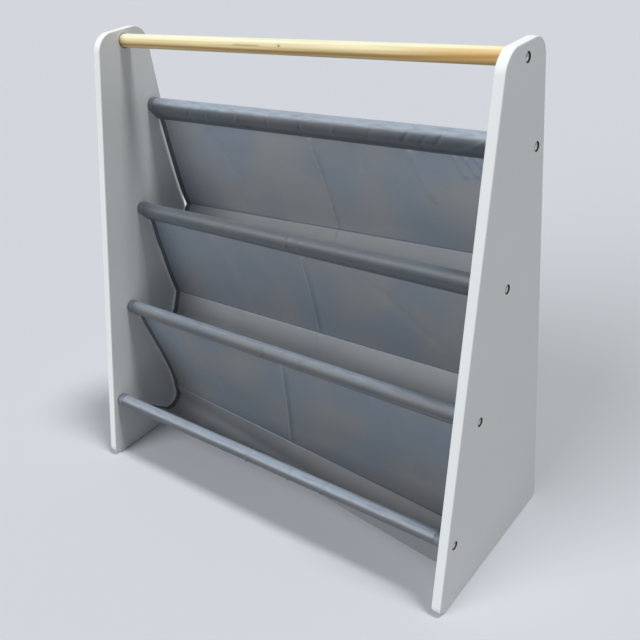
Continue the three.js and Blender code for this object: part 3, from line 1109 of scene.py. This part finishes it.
def thicken(piece, thickness):
    modifier = piece.modifiers.new("Thickness", "SOLIDIFY")
    modifier.thickness = thickness
    modifier.offset = 0.0
    modifier.use_even_offset = True


# How many columns and rows each cloth's grid has, and how near its points merge
SLEEVE_GRID = (290, 52)
POCKET_GRID = (283, 72)
HEM_GRID = (20, 60)
MERGE_DISTANCE = MM / 100


class ShelfSleeves(bpy.types.Operator):
    """Makes the four cloth sleeves round the rods"""

    bl_idname = "bookshelf.sleeves"
    bl_label = "Sleeves"

    def execute(self, context):
        sizes = context.scene.shelf_sizes
        hemmed = SLEEVE_END - sizes.sleeve_hem_width
        bands = ((hemmed - 0.8 * MM, hemmed, 0.3), (hemmed + 0.4 * MM, SLEEVE_END + MM, 0.7))
        for sleeve, name in zip(make_sleeves(), ROD_NAMES):
            middle_length = sleeve.line(0.0).length
            worn_top = (*SLEEVE_TOP_HIGHLIGHTS[sleeve.index], middle_length / 2)
            # Sleeve cloth: a darker shade, a painted highlight along the top, painted shade at the
            # seam
            material = finish_named(f"sleeve_cloth_{name}", cloth_finish, shade=0.47, satin=0.75,
                                    bands=bands, worn_top=worn_top)

            def place(across, down, sleeve=sleeve):
                x = mix(-SLEEVE_END, SLEEVE_END, across)
                length = sleeve.line(x).length
                run = down * length
                return sleeve.at(x, run)[0], (x, run - sleeve.top_run(x, length))

            bm = drape(*SLEEVE_GRID, place)
            bmesh.ops.remove_doubles(bm, verts=bm.verts, dist=MERGE_DISTANCE)
            piece = add_piece(f"cloth_sleeve_{name}", bm, material)
            thicken(piece, sizes.cloth_thickness)
            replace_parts(piece, f"sleeve_{name}")
        return {"FINISHED"}


def flattened(value):
    """A sine or cosine that leaves 0 fast, which squares a round outline up."""
    return math.copysign(abs(value) ** 0.55, value)


def hem_section(sizes, share):
    """A turned hem's outline round its middle: how far in from the edge, and off the cloth."""
    angle = 2 * math.pi * share
    return (
        sizes.hem_width / 2 * flattened(math.cos(angle)),
        sizes.hem_thickness / 2 * flattened(math.sin(angle)),
    )


def hem_sway(index, part, run):
    """How far a hem strays out sideways: it puckers most where it leaves the sleeve."""
    loose = 1.6 * math.exp(-run / (35 * MM)) if part == "back" else 0.0
    sway = (loose + 0.35) * ripple(run * 38, 0.0, 7.0 * index + 2.0)
    return sway * MM * ease(run, 0, 6 * MM)


class ShelfPockets(bpy.types.Operator):
    """Makes the cloth of the three pockets, with its side hems"""

    bl_idname = "bookshelf.pockets"
    bl_label = "Pockets"

    def execute(self, context):
        sizes = context.scene.shelf_sizes
        materials = {
            # The backs: painted paler up high, as painted light through the topmost pocket's thin
            # cloth
            "back": finish_named("woven_cloth", cloth_finish, thin=1.2),
            # The fronts: painted paler and warmer, as painted light on their upward faces
            "front": finish_named("front_cloth", cloth_finish, shade=1.1, warm=0.6, thin=0.87),
        }
        # Hems: painted darker as painted shade, with a painted highlight along the outer edge
        bands = ((POCKET_EDGE - 1.8 * MM, POCKET_EDGE + 3 * MM, 2.2),)
        hem_material = finish_named("hem_cloth", cloth_finish, shade=0.42, bands=bands)
        for pocket, name in zip(make_pockets(), POCKET_NAMES):
            for part, material in materials.items():
                def place(across, down, pocket=pocket, part=part):
                    x = mix(-POCKET_EDGE, POCKET_EDGE, across)
                    run = down * pocket.line(part, x).length
                    return pocket.at(part, x, run)[0], (x, run)

                bm = drape(*POCKET_GRID, place)
                piece = add_piece(f"cloth_{name}_{part}", bm, material)
                thicken(piece, sizes.cloth_thickness)
                hems = [self.hem(sizes, pocket, name, part, side, hem_material) for side in SIDES]
                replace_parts(piece, f"{name}_pocket_{part}")
                ends = [pocket.line(part, side * POCKET_EDGE) for side in SIDES.values()]
                rod = pocket.upper_rod if part == "back" else pocket.lower_rod
        return {"FINISHED"}

    def hem(self, sizes, pocket, name, part, side_name, material):
        """One side hem: a flat roll of cloth that follows the pocket's edge."""
        side = SIDES[side_name]
        middle = side * (POCKET_EDGE - sizes.hem_width / 2)
        length = pocket.line(part, middle).length

        def place(across, down):
            inwards, off = hem_section(sizes, across)
            x = middle - side * inwards
            run = down * length
            wobble = 0.12 * MM * ripple(run * 160, across * 2, pocket.index + 20)
            point = pocket.at(part, x, run, lift=off + wobble)[0]
            point.x += side * hem_sway(pocket.index, part, run)
            return point, (x, run)

        bm = drape(*HEM_GRID, place)
        bmesh.ops.remove_doubles(bm, verts=bm.verts, dist=MERGE_DISTANCE / 2)
        ends = [edge for edge in bm.edges if edge.is_boundary]
        bmesh.ops.holes_fill(bm, edges=ends, sides=0)
        bmesh.ops.recalc_face_normals(bm, faces=bm.faces)
        return add_piece(f"hem_{name}_{part}_{side_name}", bm, material)


# Stitches

STITCH_SHARE = 0.42
STITCH_HALF_WIDTH = 0.32 * MM
STITCH_HALF_HEIGHT = 0.2 * MM
SEAM_STITCH = 3.5 * MM
SLEEVE_HEM_STITCH = 1.2 * MM
POCKET_HEM_STITCH = 1.1 * MM
CREASE_STITCH = 1.2 * MM


def sew(bm, places, length):
    """Lays stitches end to end along places, which are points and their normals."""
    for (start, normal), (end, _) in zip(places, places[1:]):
        along = (end - start).normalized()
        aside = along.cross(normal).normalized()
        up = aside.cross(along)
        turn = Matrix((along, aside, up)).transposed().to_4x4()
        size = Matrix.Diagonal((length * STITCH_SHARE, STITCH_HALF_WIDTH, STITCH_HALF_HEIGHT, 1))
        middle = Matrix.Translation((start + end) / 2)
        bmesh.ops.create_icosphere(bm, subdivisions=1, radius=1.0, matrix=middle @ turn @ size)


def spaced(low, high, step):
    """Even places from low to high, about a step apart."""
    count = max(2, round((high - low) / step))
    return [mix(low, high, i / count) for i in range(count + 1)]


class ShelfStitches(bpy.types.Operator):
    """Sews the sleeves' seams and hems, and the pockets' hems and creases"""

    bl_idname = "bookshelf.stitches"
    bl_label = "Stitches"

    def execute(self, context):
        sizes = context.scene.shelf_sizes
        step = sizes.stitch_length
        lift = sizes.cloth_thickness / 2 + 0.05 * MM
        for sleeve, name in zip(make_sleeves(), ROD_NAMES):
            bm = bmesh.new()
            for from_front in (True, False):
                places = []
                for x in spaced(-SLEEVE_END + 4 * MM, SLEEVE_END - 4 * MM, step):
                    run = SEAM_STITCH if from_front else sleeve.line(x).length - SEAM_STITCH
                    places.append(sleeve.at(x, run, lift))
                sew(bm, places, step)
            for side in SIDES.values():
                x = side * (SLEEVE_END - sizes.sleeve_hem_width + SLEEVE_HEM_STITCH)
                runs = spaced(4 * MM, sleeve.line(x).length - 4 * MM, step)
                sew(bm, [sleeve.at(x, run, lift) for run in runs], step)
            self.finish(bm, f"stitches_sleeve_{name}")
        for pocket, name in zip(make_pockets(), POCKET_NAMES):
            bm = bmesh.new()
            for part in ("back", "front"):
                for side in SIDES.values():
                    self.sew_hem(bm, sizes, pocket, part, side)
            places = []
            for x in spaced(-POCKET_EDGE + 6 * MM, POCKET_EDGE - 6 * MM, step):
                run = pocket.line("back", x).length - CREASE_STITCH
                point, normal = pocket.at("back", x, run, -lift)
                places.append((point, -normal))
            sew(bm, places, step)
            self.finish(bm, f"stitches_pocket_{name}")
        return {"FINISHED"}

    def sew_hem(self, bm, sizes, pocket, part, side):
        """The stitches along one side hem, which show on both its faces."""
        x = side * (POCKET_EDGE - sizes.hem_width + POCKET_HEM_STITCH)
        runs = spaced(2 * MM, pocket.line(part, x).length - 3 * MM, sizes.stitch_length)
        for face in (1, -1):
            off = face * (sizes.hem_thickness / 2 - 0.1 * MM)
            places = [pocket.at(part, x, run, off) for run in runs]
            sew(bm, [(point, normal * face) for point, normal in places], sizes.stitch_length)

    def finish(self, bm, name):
        for face in bm.faces:
            face.smooth = True
        add_piece(name, bm, finish_named("sewing_thread", thread_finish))


# Stage

# The camera as it was fitted to the photograph: its right, its up and its rear, its place, and
# its lens, sensor and shift
CAMERA_AXES = (
    (0.78392, 0.60961, -0.11764),
    (-0.2503, 0.4837, 0.83868),
    (0.56817, -0.62801, 0.53177),
)
CAMERA_PLACE = (0.65379, -0.640526, 0.77263)
CAMERA_LENS = 44.74
CAMERA_SENSOR = 36.0
CAMERA_SHIFT = (-0.01197, 0.05336)
# Each lamp's name, where it shines from, its strength, how many degrees across, and its colour
LAMPS = (
    ("ceiling", (0.28, 0.20, 0.94), 2.06, 12, (0.99, 0.99, 0.98)),
    ("front", (-0.30, -0.75, 0.59), 2.18, 46, (0.96, 0.99, 1.0)),
)
# The world's light on the object, and how bright it looks to the camera and in metal
WORLD_COLOUR = (0.93, 0.96, 1.0, 1.0)
WORLD_STRENGTH = 0.18
WORLD_SHOWN = 0.8
FLOOR_BOUNCE = 0.65
FLOOR_SIZE = 30.0


class ShelfStage(bpy.types.Operator):
    """Sets up the floor, the lamps and the camera"""

    bl_idname = "bookshelf.stage"
    bl_label = "Stage"

    def execute(self, context):
        scene = context.scene
        scene.view_settings.view_transform = "Standard"
        bm = bmesh.new()
        bmesh.ops.create_grid(bm, x_segments=1, y_segments=1, size=FLOOR_SIZE / 2)
        floor = put("floor", mesh_of("floor", bm))
        floor.data.materials.append(finish_named("plain_floor", floor_finish))

        for name, towards, strength, softness, colour in LAMPS:
            lamp = bpy.data.lights.new(name, "SUN")
            lamp.energy = strength
            lamp.angle = math.radians(softness)
            lamp.color = colour
            holder = put(name, lamp)
            holder.rotation_euler = Vector(towards).to_track_quat("Z", "Y").to_euler()

        scene.world = studio_light()

        camera = bpy.data.cameras.new("camera")
        camera.lens = CAMERA_LENS
        camera.sensor_width = CAMERA_SENSOR
        camera.sensor_fit = "HORIZONTAL"
        camera.shift_x, camera.shift_y = CAMERA_SHIFT
        camera.clip_start = 0.01
        scene.camera = put("camera", camera)
        turn = Matrix(CAMERA_AXES).transposed().to_4x4()
        scene.camera.matrix_world = Matrix.Translation(CAMERA_PLACE) @ turn
        return {"FINISHED"}


class ShelfPanel(bpy.types.Panel):
    """Lists the bookshelf's pieces in the sidebar"""

    bl_idname = "VIEW3D_PT_bookshelf"
    bl_label = "Sling bookshelf"
    bl_space_type = "VIEW_3D"
    bl_region_type = "UI"
    bl_category = "Bookshelf"

    def draw(self, context):
        for operator in OPERATORS:
            self.layout.operator(operator.bl_idname)
        for group in (context.scene.shelf_sizes, context.scene.shelf_colours):
            for key in group.__annotations__:
                self.layout.prop(group, key)


OPERATORS = (
    ShelfStage, ShelfPanels, ShelfDowels, ShelfScrews, ShelfSleeves, ShelfPockets, ShelfStitches)
CLASSES = (ShelfSizes, ShelfColours, *OPERATORS, ShelfPanel)


def register():
    for cls in CLASSES:
        bpy.utils.register_class(cls)
    bpy.types.Scene.shelf_sizes = bpy.props.PointerProperty(type=ShelfSizes)
    bpy.types.Scene.shelf_colours = bpy.props.PointerProperty(type=ShelfColours)


def unregister():
    del bpy.types.Scene.shelf_colours
    del bpy.types.Scene.shelf_sizes
    for cls in reversed(CLASSES):
        bpy.utils.unregister_class(cls)


def main():
    register()
    bpy.ops.bookshelf.stage()
    bpy.ops.bookshelf.panels()
    bpy.ops.bookshelf.dowels()
    bpy.ops.bookshelf.screws()
    bpy.ops.bookshelf.sleeves()
    bpy.ops.bookshelf.pockets()
    bpy.ops.bookshelf.stitches()


if __name__ == "__main__":
    main()
